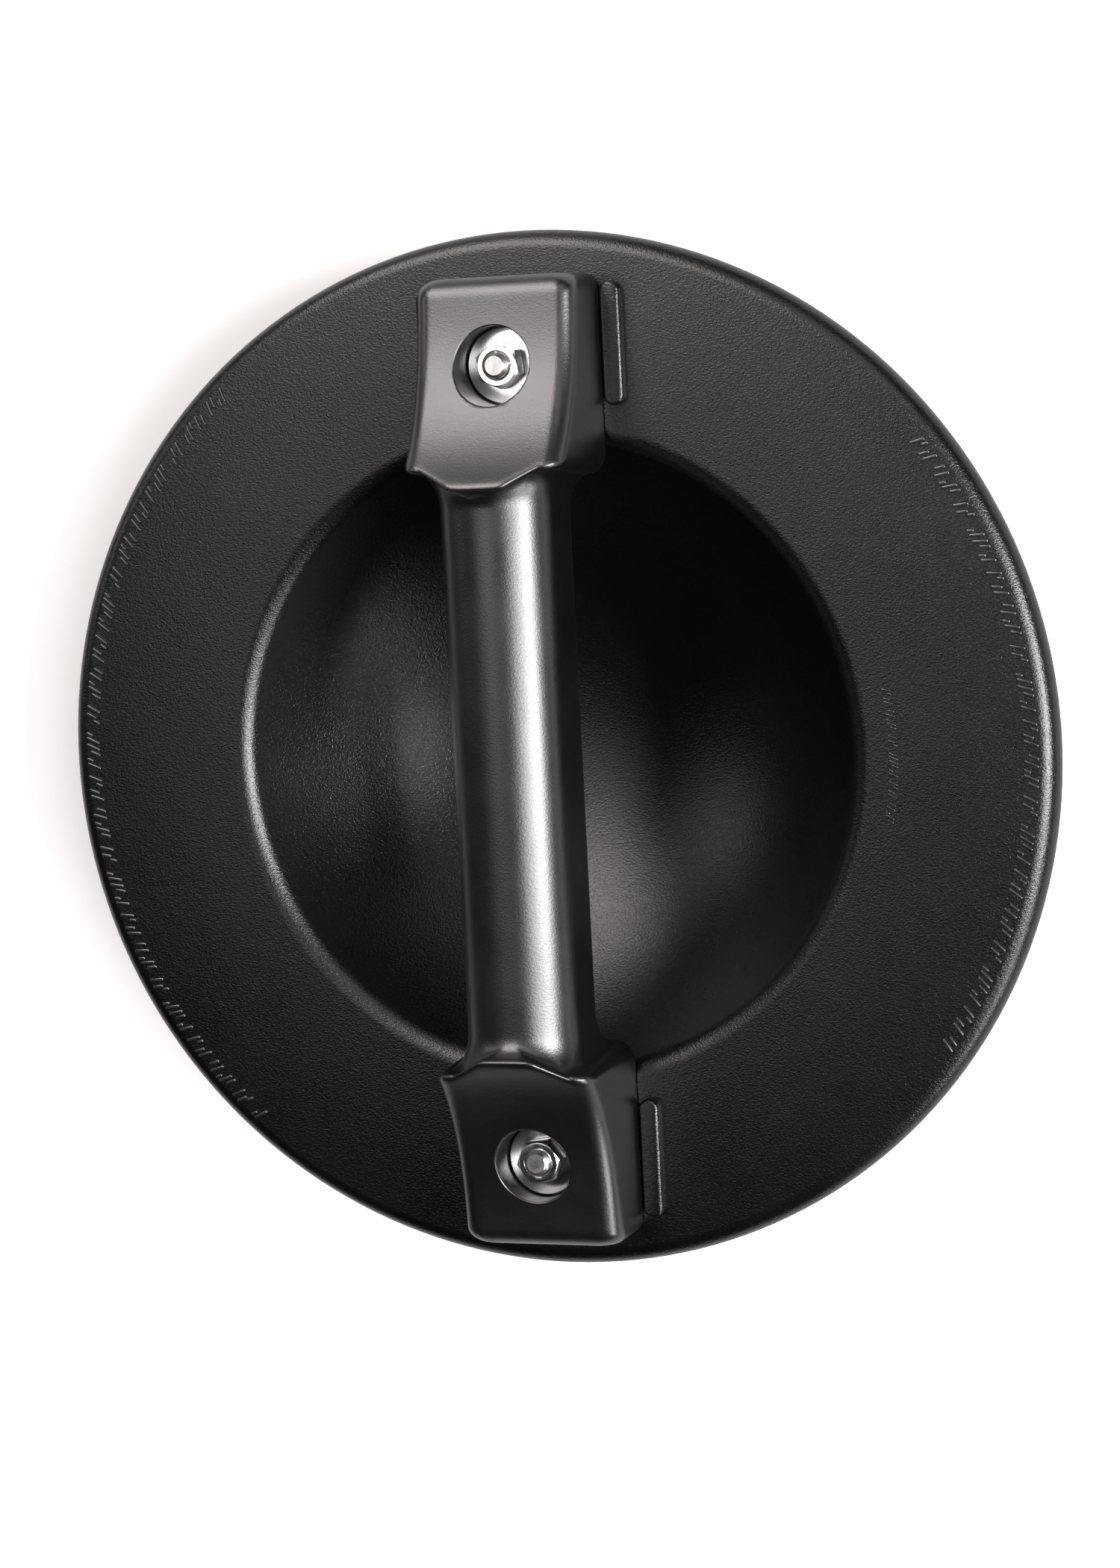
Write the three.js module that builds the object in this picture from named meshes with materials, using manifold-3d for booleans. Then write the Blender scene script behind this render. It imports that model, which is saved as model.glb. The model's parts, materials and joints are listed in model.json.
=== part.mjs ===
// Training buckler: a moulded round shield with a hollow boss, and a moulded grip bolted across its back.
// Millimetres, +Z up. It lies on the flat spot of its dome, with the side that the hand holds facing up.
// Lengths along the handle are counted outwards from its own middle, in both directions of Y.
import * as THREE from "three";
import { mergeVertices } from "three/addons/utils/BufferGeometryUtils.js";
import Module from "manifold-3d";

// Shield moulding
const wall = 4;
const bossOpening = 208;
const bossDepth = 60;
const flangeWidth = 64;
const bossLipRound = 8;
const bossFrontRound = 6;
const rimBeadWidth = 7;
const rimBeadDepth = 4.5;
const rimBackRound = 6;
const rimFrontRound = 2.2;
const restSpot = 24;

// Handle feet: the block at each end of the handle
const footWidth = 54;
const footDraftDegrees = 1;
const footSetback = 13.3;
const footOverhang = 12.8;
const footCornerRound = 5.5;
const footEdgeRound = 6;
const footBaseChamfer = 0.8;
const footEndHeight = 25;
const footSlopeRise = 7;
const toeSlant = 3;
const toeRound = 3;
const toeCornerRound = 6;
const noseDepth = 5.5;
const noseFlat = 16.5;
const ridgeStep = 8.8;

// Grip between the feet
const gripWidth = 37;
const gripThickness = 38;
const gripStandOff = 6;
const gripCrownRound = 14;
const gripBackRound = 9;
const crownFlare = 6;
const sideFlare = 12;

// The handle and its bolts sit this far from the middle of the shield, towards the lower end
const handleShift = 1.2;

// Locating ribs on the flange, one at each side of each foot
const ribWidth = 6.8;
const ribHeight = 3.5;
const ribEdgeRound = 1.2;
const ribSideGap = 0.5;
const ribLipGap = 7.3;
const ribEndGap = 4.2;

// Fasteners
const boltDiameter = 8;
const boltFromFootEnd = 27.9;
const boltHeadDiameter = 20.6;
const boltHeadHeight = 4.9;
const boltNeckHeight = 3.4;
const boltProud = 2.4;
const boltEndChamfer = 1;
const nutAcrossFlats = 13;
const nutHeight = 6.5;
const nutChamferDegrees = 30;
const nutCornerAngleUpper = 37.5;
const nutCornerAngleLower = 8;
const washerDiameter = 24;
const washerThickness = 2;
const counterboreFloor = 15.5;
const counterborePlay = 0.5;

// Clearances
const seatGap = 0.3;
const boreGap = 0.4;

// Facets
const shieldFacets = 72;
const fastenerFacets = 20;
const domeSteps = 7;
const roundSteps = 3;
const boltHeadSteps = 5;
const crownSteps = 8;
const noseSteps = 4;
const sideSteps = 2;
const undersideSteps = 3;
const stretchSteps = { grip: 3, flare: 6, toe: 3, face: 8, end: 4 };

// Sizes that follow
const bossRadius = bossOpening / 2;
const rimRadius = bossRadius + flangeWidth;
const domeInner = (bossRadius ** 2 + bossDepth ** 2) / (2 * bossDepth);
const domeOuter = domeInner + wall;
const domeCentre = domeInner - bossDepth;
const backHeight = Math.sqrt(domeOuter ** 2 - (restSpot / 2) ** 2) - domeCentre;
const footEnd = rimRadius - footSetback;
const toe = bossRadius - footOverhang;
const corner = toe + toeSlant;
const ridge = corner - noseDepth;
const boltOffset = footEnd - boltFromFootEnd;
const gripCrown = gripStandOff + gripThickness;
const ridgeHeight = gripCrown + ridgeStep;
const washerSeat = counterboreFloor + seatGap;
const nutSeat = washerSeat + washerThickness + seatGap;
const boltEnd = nutSeat + nutHeight + boltProud;
const boltHeadSeat = -wall - seatGap;

const blackPlastic = { color: 0x1b1a1b, roughness: 0.5, metalness: 0 };
const zincPlate = { color: 0xd0d3d6, roughness: 0.25, metalness: 1 };

const wasm = await Module();
wasm.setup();

const radians = THREE.MathUtils.degToRad;
const mix = THREE.MathUtils.lerp;
const clamp = THREE.MathUtils.clamp;

// A closed geometry as a solid that can be joined and cut.
function solidOf(geometry) {
  const bare = geometry.clone();
  bare.deleteAttribute("normal");
  bare.deleteAttribute("uv");
  const merged = mergeVertices(bare, 1e-4);
  const corners = merged.index.array;
  const kept = [];
  for (let i = 0; i < corners.length; i += 3) {
    const [a, b, c] = corners.slice(i, i + 3);
    if (a !== b && b !== c && c !== a) kept.push(a, b, c);
  }
  return new wasm.Manifold(
    new wasm.Mesh({
      numProp: 3,
      vertProperties: new Float32Array(merged.attributes.position.array),
      triVerts: new Uint32Array(kept),
    }),
  );
}

// A solid back as a geometry with flat normals.
function geometryOf(solid) {
  const mesh = solid.getMesh();
  const indexed = new THREE.BufferGeometry();
  indexed.setAttribute("position", new THREE.BufferAttribute(new Float32Array(mesh.vertProperties), 3));
  indexed.setIndex(new THREE.BufferAttribute(new Uint32Array(mesh.triVerts), 1));
  const flat = indexed.toNonIndexed();
  flat.computeVertexNormals();
  return flat;
}

// Points of an arc in a half section, radius outwards and height up, without its first point.
function arc(radiusAt, heightAt, size, from, to, steps) {
  const points = [];
  for (let i = 1; i <= steps; i++) {
    const angle = mix(from, to, i / steps);
    points.push(new THREE.Vector2(radiusAt + size * Math.cos(angle), heightAt + size * Math.sin(angle)));
  }
  return points;
}

// A solid turned about Z from a half section that runs from the top of the axis round to its bottom.
function turned(points, facets) {
  const geometry = new THREE.LatheGeometry([...points].reverse(), facets);
  geometry.rotateX(Math.PI / 2);
  return solidOf(geometry);
}

// An upright cylinder between two heights.
function cylinder(diameter, low, high) {
  const geometry = new THREE.CylinderGeometry(diameter / 2, diameter / 2, high - low, fastenerFacets);
  geometry.rotateX(Math.PI / 2);
  geometry.translate(0, 0, (low + high) / 2);
  return solidOf(geometry);
}

// An upright square bar between two heights.
function squareBar(side, low, high) {
  const geometry = new THREE.BoxGeometry(side, side, high - low);
  geometry.translate(0, 0, (low + high) / 2);
  return solidOf(geometry);
}

// Half section of the shield from the inside of the dome over the lip, flange and rim to the outside.
// Height 0 is the back face of the flange.
function shieldProfile() {
  const lipRadius = Math.sqrt((domeInner + bossLipRound) ** 2 - (domeCentre + bossLipRound) ** 2);
  const lipAngle = Math.atan2(domeCentre + bossLipRound, lipRadius);
  const frontReach = domeCentre + wall + bossFrontRound;
  const frontRadius = Math.sqrt((domeOuter + bossFrontRound) ** 2 - frontReach ** 2);
  const frontAngle = Math.atan2(frontReach, frontRadius);
  const spotAngle = Math.acos(restSpot / 2 / domeOuter);
  const rimFront = -wall - rimBeadDepth;
  const beadInner = rimRadius - rimBeadWidth;
  const quarter = Math.PI / 2;
  return [
    new THREE.Vector2(0, domeCentre - domeInner),
    ...arc(0, domeCentre, domeInner, -quarter, -lipAngle, domeSteps),
    ...arc(lipRadius, -bossLipRound, bossLipRound, Math.PI - lipAngle, quarter, roundSteps),
    new THREE.Vector2(rimRadius - rimBackRound, 0),
    ...arc(rimRadius - rimBackRound, -rimBackRound, rimBackRound, quarter, 0, roundSteps),
    new THREE.Vector2(rimRadius, rimFront + rimFrontRound),
    ...arc(rimRadius - rimFrontRound, rimFront + rimFrontRound, rimFrontRound, 0, -quarter, roundSteps),
    new THREE.Vector2(beadInner + rimFrontRound, rimFront),
    ...arc(beadInner + rimFrontRound, rimFront + rimFrontRound, rimFrontRound, -quarter, -Math.PI, roundSteps),
    new THREE.Vector2(beadInner, -wall),
    new THREE.Vector2(frontRadius, -wall),
    ...arc(frontRadius, -wall - bossFrontRound, bossFrontRound, quarter, Math.PI - frontAngle, roundSteps),
    ...arc(0, domeCentre, domeOuter, -frontAngle, -spotAngle, domeSteps),
    new THREE.Vector2(0, -backHeight),
  ];
}

// One locating rib: a low bar with round ends, sunk a little into the flange.
function rib(side, end) {
  const inner = bossRadius + ribLipGap;
  const outer = footEnd - ribEndGap;
  const sunk = wall / 2;
  const endRadius = ribWidth / 2 - ribEdgeRound;
  const straight = (outer - inner) / 2 - ribWidth / 2;
  const outline = new THREE.Shape();
  outline.absarc(0, straight, endRadius, 0, Math.PI, false);
  outline.absarc(0, -straight, endRadius, Math.PI, 2 * Math.PI, false);
  outline.closePath();
  const geometry = new THREE.ExtrudeGeometry(outline, {
    depth: ribHeight + sunk - 2 * ribEdgeRound,
    bevelThickness: ribEdgeRound,
    bevelSize: ribEdgeRound,
    bevelSegments: 2,
    curveSegments: 6,
  });
  const across = footWidth / 2 + ribSideGap + ribWidth / 2;
  geometry.translate(side * across, (end * (inner + outer)) / 2, ribEdgeRound - sunk);
  return solidOf(geometry);
}

function shieldBody() {
  let body = turned(shieldProfile(), shieldFacets);
  for (const end of [1, -1]) {
    const neckHole = squareBar(boltDiameter + 2 * seatGap, -2 * wall, wall);
    body = body.subtract(neckHole.translate([0, end * boltOffset - handleShift, 0]));
    for (const side of [1, -1]) body = body.add(rib(side, end));
  }
  return geometryOf(body);
}

// Height of the foot's hollow face, which climbs towards the middle of the shield.
function faceHeight(along) {
  const climb = (footEnd - along) / (footEnd - ridge);
  const curveRise = ridgeHeight - footEndHeight - footSlopeRise;
  return footEndHeight + footSlopeRise * climb + curveRise * climb ** 3;
}

// How far a round edge of the given radius has pulled in, this far from the foot's outer end.
function pulledIn(along, round) {
  const past = clamp(along - (footEnd - round), 0, round);
  return round - Math.sqrt(round ** 2 - past ** 2);
}

function footHalfWidth(height) {
  return footWidth / 2 - Math.tan(radians(footDraftDegrees)) * height;
}

// Point i of the half outline round the grip, from the middle of its crown to the middle of its back.
function gripPoint(i) {
  const half = gripWidth / 2;
  const sideTop = gripCrown - gripCrownRound;
  const sideLow = gripStandOff + gripBackRound;
  if (i <= crownSteps) {
    const angle = ((i / crownSteps) * Math.PI) / 2;
    return [half * Math.sin(angle), sideTop + gripCrownRound * Math.cos(angle)];
  }
  if (i <= crownSteps + sideSteps) return [half, mix(sideTop, sideLow, (i - crownSteps) / sideSteps)];
  const angle = (((i - crownSteps - sideSteps) / undersideSteps) * Math.PI) / 2;
  return [half * Math.cos(angle), sideLow - gripBackRound * Math.sin(angle)];
}

// The same point of the half outline of a foot: hollow face, round edge, side, base.
// Near the toe the outline is smaller by the inset, because its edge there is round too.
function footPoint(i, along, inset) {
  const pulled = pulledIn(along, footCornerRound) + inset;
  const top = faceHeight(along) - pulledIn(along, footEdgeRound) - inset;
  const edgeLow = top - footEdgeRound;
  const flat = footHalfWidth(edgeLow) - pulled - footEdgeRound;
  if (i === 0) return [0, top];
  if (i <= noseSteps) return [mix(noseFlat / 2, flat, (i - 1) / (noseSteps - 1)), top];
  if (i <= crownSteps) {
    const angle = (((i - noseSteps) / (crownSteps - noseSteps)) * Math.PI) / 2;
    return [flat + footEdgeRound * Math.sin(angle), edgeLow + footEdgeRound * Math.cos(angle)];
  }
  const low = seatGap + footBaseChamfer;
  if (i <= crownSteps + sideSteps) {
    const height = mix(edgeLow, low, (i - crownSteps) / sideSteps);
    return [footHalfWidth(height) - pulled, height];
  }
  const baseHalf = footHalfWidth(seatGap) - pulled - footBaseChamfer;
  const inward = (i - crownSteps - sideSteps - 1) / (undersideSteps - 1);
  return [mix(baseHalf, 0, inward), seatGap];
}

// Where point i of the outline reaches the foot, how long its hollow flare is, and how round the toe is there.
function toeOf(i) {
  if (i <= noseSteps) {
    const across = clamp((i - 1) / (noseSteps - 1), 0, 1);
    return { reached: mix(ridge, corner, across), flare: mix(crownFlare, sideFlare, across), round: toeRound };
  }
  const down = clamp((i - crownSteps) / sideSteps, 0, 1);
  return { reached: mix(corner, toe, down), flare: sideFlare, round: mix(toeRound, toeCornerRound, down ** 2) };
}

// Point i of the handle's outline, as far along each stretch of the handle as its share says.
// It is given as distance across, distance along and height.
const handleStretches = {
  grip(i, share) {
    const { reached, flare } = toeOf(i);
    const [across, height] = gripPoint(i);
    return [across, mix(0, reached - flare, share), height];
  },
  flare(i, share) {
    const { reached, flare, round } = toeOf(i);
    const turn = (share * Math.PI) / 2;
    const grown = 1 - Math.cos(turn);
    const grip = gripPoint(i);
    const foot = footPoint(i, reached, round);
    return [mix(grip[0], foot[0], grown), reached - flare * (1 - Math.sin(turn)), mix(grip[1], foot[1], grown)];
  },
  toe(i, share) {
    const { reached, round } = toeOf(i);
    const turn = (share * Math.PI) / 2;
    const along = reached + round * (1 - Math.cos(turn));
    const [across, height] = footPoint(i, along, round * (1 - Math.sin(turn)));
    return [across, along, height];
  },
  face(i, share) {
    const { reached, round } = toeOf(i);
    const along = mix(reached + round, footEnd - footCornerRound, share);
    const [across, height] = footPoint(i, along, 0);
    return [across, along, height];
  },
  end(i, share) {
    const along = footEnd - footCornerRound * (1 - Math.sin((share * Math.PI) / 2));
    const [across, height] = footPoint(i, along, 0);
    return [across, along, height];
  },
};

// Half outlines of the handle from its middle to its outer end, close together where it changes fast.
function handleOutlines() {
  const last = crownSteps + sideSteps + undersideSteps;
  const outlines = [];
  for (const [name, steps] of Object.entries(stretchSteps)) {
    for (let step = 1; step <= steps; step++) {
      const outline = [];
      for (let i = 0; i <= last; i++) outline.push(handleStretches[name](i, step / steps));
      outlines.push(outline);
    }
  }
  return outlines;
}

// A closed skin over rings of points, with flat ends.
function loft(rings) {
  const around = rings[0].length;
  const last = (rings.length - 1) * around;
  const index = [];
  for (let r = 0; r + 1 < rings.length; r++) {
    for (let i = 0; i < around; i++) {
      const a = r * around + i;
      const b = r * around + ((i + 1) % around);
      index.push(a, b, a + around, b, b + around, a + around);
    }
  }
  for (let i = 1; i + 1 < around; i++) {
    index.push(0, i + 1, i);
    index.push(last, last + i, last + i + 1);
  }
  const geometry = new THREE.BufferGeometry();
  geometry.setAttribute("position", new THREE.Float32BufferAttribute(rings.flat(2), 3));
  geometry.setIndex(index);
  return geometry;
}

function handleGeometry() {
  const outer = handleOutlines();
  const inner = [...outer].reverse().map((outline) => outline.map(([x, y, z]) => [x, -y, z]));
  const rings = [...inner, ...outer].map((right) => {
    const left = right.slice(1, -1).reverse();
    return [...right, ...left.map(([x, y, z]) => [-x, y, z])];
  });
  let handle = solidOf(loft(rings));
  for (const end of [1, -1]) {
    const counterbore = cylinder(washerDiameter + 2 * counterborePlay, counterboreFloor, 2 * ridgeHeight);
    const bore = cylinder(boltDiameter + 2 * boreGap, -wall, 2 * ridgeHeight);
    handle = handle.subtract(counterbore.add(bore).translate([0, end * boltOffset, 0]));
  }
  return geometryOf(handle);
}

// Carriage bolt with a domed head on the front of the flange and a square neck in it.
function boltGeometry() {
  const headRadius = boltHeadDiameter / 2;
  const domeRadius = (headRadius ** 2 + boltHeadHeight ** 2) / (2 * boltHeadHeight);
  const domeMiddle = boltHeadSeat - boltHeadHeight + domeRadius;
  const edgeAngle = Math.atan2(boltHeadSeat - domeMiddle, headRadius);
  const profile = [
    new THREE.Vector2(0, boltEnd),
    new THREE.Vector2(boltDiameter / 2 - boltEndChamfer, boltEnd),
    new THREE.Vector2(boltDiameter / 2, boltEnd - boltEndChamfer),
    new THREE.Vector2(boltDiameter / 2, boltHeadSeat),
    new THREE.Vector2(headRadius, boltHeadSeat),
    ...arc(0, domeMiddle, domeRadius, edgeAngle, -Math.PI / 2, boltHeadSteps),
  ];
  profile[profile.length - 1].x = 0;
  const neck = squareBar(boltDiameter, boltHeadSeat, boltHeadSeat + boltNeckHeight);
  return geometryOf(turned(profile, fastenerFacets).add(neck));
}

function washerGeometry() {
  const disc = cylinder(washerDiameter, washerSeat, washerSeat + washerThickness);
  return geometryOf(disc.subtract(cylinder(boltDiameter + 2 * boreGap, 0, boltEnd)));
}

// Hexagon nut with both faces chamfered at their corners.
function nutGeometry(cornerAngle) {
  const acrossCorners = nutAcrossFlats / Math.cos(Math.PI / 6);
  const cut = ((acrossCorners - nutAcrossFlats) / 2) * Math.tan(radians(nutChamferDegrees));
  const hexagon = new THREE.CylinderGeometry(acrossCorners / 2, acrossCorners / 2, nutHeight, 6);
  hexagon.rotateX(Math.PI / 2);
  hexagon.rotateZ(radians(cornerAngle) - Math.PI / 2);
  hexagon.translate(0, 0, nutSeat + nutHeight / 2);
  const chamfers = turned(
    [
      new THREE.Vector2(0, nutSeat + nutHeight),
      new THREE.Vector2(nutAcrossFlats / 2, nutSeat + nutHeight),
      new THREE.Vector2(acrossCorners / 2, nutSeat + nutHeight - cut),
      new THREE.Vector2(acrossCorners / 2, nutSeat + cut),
      new THREE.Vector2(nutAcrossFlats / 2, nutSeat),
      new THREE.Vector2(0, nutSeat),
    ],
    fastenerFacets,
  );
  const bore = cylinder(boltDiameter + 2 * boreGap, 0, boltEnd);
  return geometryOf(solidOf(hexagon).intersect(chamfers).subtract(bore));
}

function piece(name, geometry, finish) {
  const mesh = new THREE.Mesh(geometry, new THREE.MeshStandardMaterial(finish));
  mesh.name = name;
  return mesh;
}

// Bolt, washer and nut of one foot, on the bolt's own axis.
function fastener(where, end, cornerAngle) {
  const group = new THREE.Group();
  group.position.y = end * boltOffset;
  group.add(piece(`bolt_${where}`, boltGeometry(), zincPlate));
  group.add(piece(`washer_${where}`, washerGeometry(), zincPlate));
  group.add(piece(`nut_${where}`, nutGeometry(cornerAngle), zincPlate));
  return group;
}

const grasp = new THREE.Group();
grasp.position.y = -handleShift;
grasp.add(piece("handle", handleGeometry(), blackPlastic));
grasp.add(fastener("upper", 1, nutCornerAngleUpper));
grasp.add(fastener("lower", -1, nutCornerAngleLower));

const backFace = new THREE.Group();
backFace.position.z = backHeight;
backFace.add(piece("shield_body", shieldBody(), blackPlastic));
backFace.add(grasp);

const buckler = new THREE.Group();
buckler.add(backFace);

export default buckler;
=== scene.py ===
import json
import math

import bmesh
import bpy
from mathutils import Matrix, Vector


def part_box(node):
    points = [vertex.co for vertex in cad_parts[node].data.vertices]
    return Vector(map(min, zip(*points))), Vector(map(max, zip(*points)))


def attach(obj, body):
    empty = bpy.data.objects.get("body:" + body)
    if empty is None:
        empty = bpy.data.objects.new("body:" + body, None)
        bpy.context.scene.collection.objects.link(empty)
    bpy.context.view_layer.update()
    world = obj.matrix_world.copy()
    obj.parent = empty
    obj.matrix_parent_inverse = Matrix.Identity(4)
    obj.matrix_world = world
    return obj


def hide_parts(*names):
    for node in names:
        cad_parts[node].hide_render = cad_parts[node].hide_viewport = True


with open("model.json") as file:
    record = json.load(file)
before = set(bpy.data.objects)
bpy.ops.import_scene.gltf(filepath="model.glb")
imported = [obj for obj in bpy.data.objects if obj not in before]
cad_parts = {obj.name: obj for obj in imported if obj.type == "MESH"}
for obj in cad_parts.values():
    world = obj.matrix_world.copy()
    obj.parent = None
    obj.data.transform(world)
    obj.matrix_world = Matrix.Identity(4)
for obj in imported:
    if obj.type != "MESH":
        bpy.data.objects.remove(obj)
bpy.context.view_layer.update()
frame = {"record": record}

MM = 0.001

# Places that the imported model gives
BACK = next(m["pos_m"][2] for m in frame["record"]["mounts"] if m["name"] == "flange_back")
RIM_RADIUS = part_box("shield_body")[1].x
HANDLE_MIDDLE = (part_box("handle")[0].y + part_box("handle")[1].y) / 2
FOOT_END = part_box("handle")[1].y - HANDLE_MIDDLE
BOLT_OFFSET = (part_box("washer_upper")[0].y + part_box("washer_upper")[1].y) / 2 - HANDLE_MIDDLE
WASHER_LOW, WASHER_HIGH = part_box("washer_upper")[0].z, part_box("washer_upper")[1].z
NUT_LOW, NUT_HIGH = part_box("nut_upper")[0].z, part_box("nut_upper")[1].z
BOLT_LOW, BOLT_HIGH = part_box("bolt_upper")[0].z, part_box("bolt_upper")[1].z

# Shield moulding
WALL = 4 * MM
BOSS_RADIUS = 104 * MM
BOSS_DEPTH = 60 * MM
LIP_ROUND = 8 * MM
BOSS_FRONT_ROUND = 6 * MM
RIM_BEAD_WIDTH = 7 * MM
RIM_BEAD_DEPTH = 4.5 * MM
RIM_BACK_ROUND = 6 * MM
RIM_FRONT_ROUND = 2.2 * MM
REST_SPOT_RADIUS = 12 * MM
BOLT_HOLE = 8.6 * MM

# Locating ribs
RIB_WIDTH = 6.8 * MM
RIB_HEIGHT = 3.5 * MM
RIB_EDGE_ROUND = 1.3 * MM
RIB_ACROSS = 30.9 * MM
RIB_INNER = BOSS_RADIUS + 7.3 * MM
RIB_OUTER = FOOT_END - 4.2 * MM

# Handle
SEAT_GAP = 0.3 * MM
FOOT_WIDTH = 54 * MM
FOOT_DRAFT = math.radians(1)
FOOT_OVERHANG = 12.8 * MM
FOOT_CORNER_ROUND = 5.5 * MM
FOOT_EDGE_ROUND = 6 * MM
FOOT_BASE_CHAMFER = 0.8 * MM
FOOT_END_LEVEL = 25 * MM
FOOT_SLOPE_RISE = 7 * MM
TOE_SLANT = 3 * MM
TOE_ROUND = 3 * MM
TOE_CORNER_ROUND = 6 * MM
NOSE_DEPTH = 5.5 * MM
NOSE_FLAT = 16.5 * MM
RIDGE_STEP = 8.8 * MM
GRIP_WIDTH = 37 * MM
GRIP_STAND_OFF = 6 * MM
GRIP_THICKNESS = 38 * MM
GRIP_CROWN_ROUND = 14 * MM
GRIP_BACK_ROUND = 9 * MM
CROWN_FLARE = 6 * MM
SIDE_FLARE = 12 * MM
PARTING_LEVEL = 15 * MM
COUNTERBORE_RADIUS = 12.5 * MM
COUNTERBORE_FLOOR = 15.5 * MM
COUNTERBORE_MOUTH_ROUND = 0.5 * MM
BOLT_BORE_RADIUS = 4.4 * MM

TOE = BOSS_RADIUS - FOOT_OVERHANG
CORNER = TOE + TOE_SLANT
RIDGE = CORNER - NOSE_DEPTH
GRIP_CROWN = GRIP_STAND_OFF + GRIP_THICKNESS
RIDGE_LEVEL = GRIP_CROWN + RIDGE_STEP

# Fasteners
BOLT_RADIUS = 4 * MM
THREAD_PITCH = 1.25 * MM
THREAD_DEPTH = 0.6 * MM
THREAD_START = 6 * MM
THREAD_RINGS = 8
BOLT_END_CHAMFER = 1 * MM
BOLT_HEAD_RADIUS = 10.3 * MM
BOLT_HEAD_HEIGHT = 4.9 * MM
BOLT_HEAD_EDGE = 0.2 * MM
BOLT_NECK = 3.4 * MM
BOLT_NECK_SUNK = 0.2 * MM
BOLT_NECK_ROUND = 0.3 * MM
NUT_ACROSS_FLATS = 13 * MM
NUT_FACE_SHARE = 0.96
NUT_CHAMFER = math.radians(30)
NUT_COUNTERSINK = 0.7 * MM
NUT_BORE = BOLT_RADIUS + 0.08 * MM
NUT_CORNER_UPPER = math.radians(37.5)
NUT_CORNER_LOWER = math.radians(8)
WASHER_RADIUS = 12 * MM
WASHER_BORE = 4.4 * MM
WASHER_EDGE_ROUND = 0.35 * MM

# Raised marks on the flange
MARK_HEIGHT = 0.65 * MM
MARK_SUNK = 0.3 * MM
MARK_WIDTH = 0.95 * MM
MARK_EDGE_ROUND = 0.35 * MM
MARK_SLANT = math.radians(-22)
# One run of strokes in mm: each one's place along the row, its length and its offset across the row
MARK_RUN = (
    (0.0, 5.0, 0.0), (2.2, 2.4, 1.3), (4.3, 3.6, -0.7), (6.5, 5.0, 0.0),
    (10.8, 3.6, 0.7), (12.9, 5.0, 0.0), (15.2, 2.4, -1.3), (17.3, 5.0, 0.0), (19.4, 3.6, 0.7),
    (23.9, 5.0, 0.0), (26.1, 3.6, -0.7), (28.2, 2.4, 1.3),
    (32.4, 2.4, -1.3), (34.5, 5.0, 0.0), (36.7, 5.0, 0.0), (38.8, 3.6, 0.7), (41.0, 2.4, -1.3), (43.1, 5.0, 0.0),
)
MARK_RUN_LENGTH = 47.4
# Each row's radius, its first and last angle, and the size of its strokes
MARK_ROWS = {
    "right_row": (159.6 * MM, 37, -36, 1.0),
    "left_row": (160 * MM, 131, 229, 1.0),
    "small_row": (116 * MM, 9.5, -11, 0.62),
}

# Camera and light
CAMERA_PLACE = Vector((394.4, 122.1, 1174.6)) * MM
CAMERA_TARGET = Vector((5.36, -9.09, 63.42)) * MM
CAMERA_ROLL = math.radians(-2.92)
CAMERA_LENS = 84.45
FLOOR_SIZE = 12
FLOOR_GAP = 0.1 * MM
LAMP_TARGET = Vector((0, 0, BACK))
LAMP_DISTANCE = 1.6
WHITE = (1.0, 1.0, 1.0)
WARM = (1.0, 0.93, 0.92)
# Each lamp's direction from the shield, its width and height, how bright its surface looks, and its tint
LAMPS = {
    "key_right": ((0.745, -0.03, 0.66), 0.80, 0.62, 28, WHITE),
    "key_spread": ((0.46, -0.10, 0.88), 0.60, 0.50, 13, WHITE),
    "low_right": ((0.68, -0.60, 0.42), 0.50, 0.60, 10, WHITE),
    "low_left": ((-0.86, 0.27, 0.43), 0.55, 0.32, 3, WHITE),
    "fill_top": ((-0.33, 0.64, 0.69), 0.75, 1.20, 8, WARM),
    "fill_low": ((-0.28, 0.91, 0.30), 0.75, 0.55, 1.6, WARM),
    "fill_side": ((0.30, 0.66, 0.68), 0.60, 1.00, 1.5, WHITE),
    "ceiling": ((-0.33, 0.11, 0.94), 0.66, 0.66, 2.0, WARM),
}


# Half section of the shield: its points are radius and level

def arc(radius, level, size, start, end, steps):
    """Points of an arc in a half section, without its first point."""
    points = []
    for step in range(1, steps + 1):
        angle = start + (end - start) * step / steps
        points.append((radius + size * math.cos(angle), level + size * math.sin(angle)))
    return points


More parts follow.
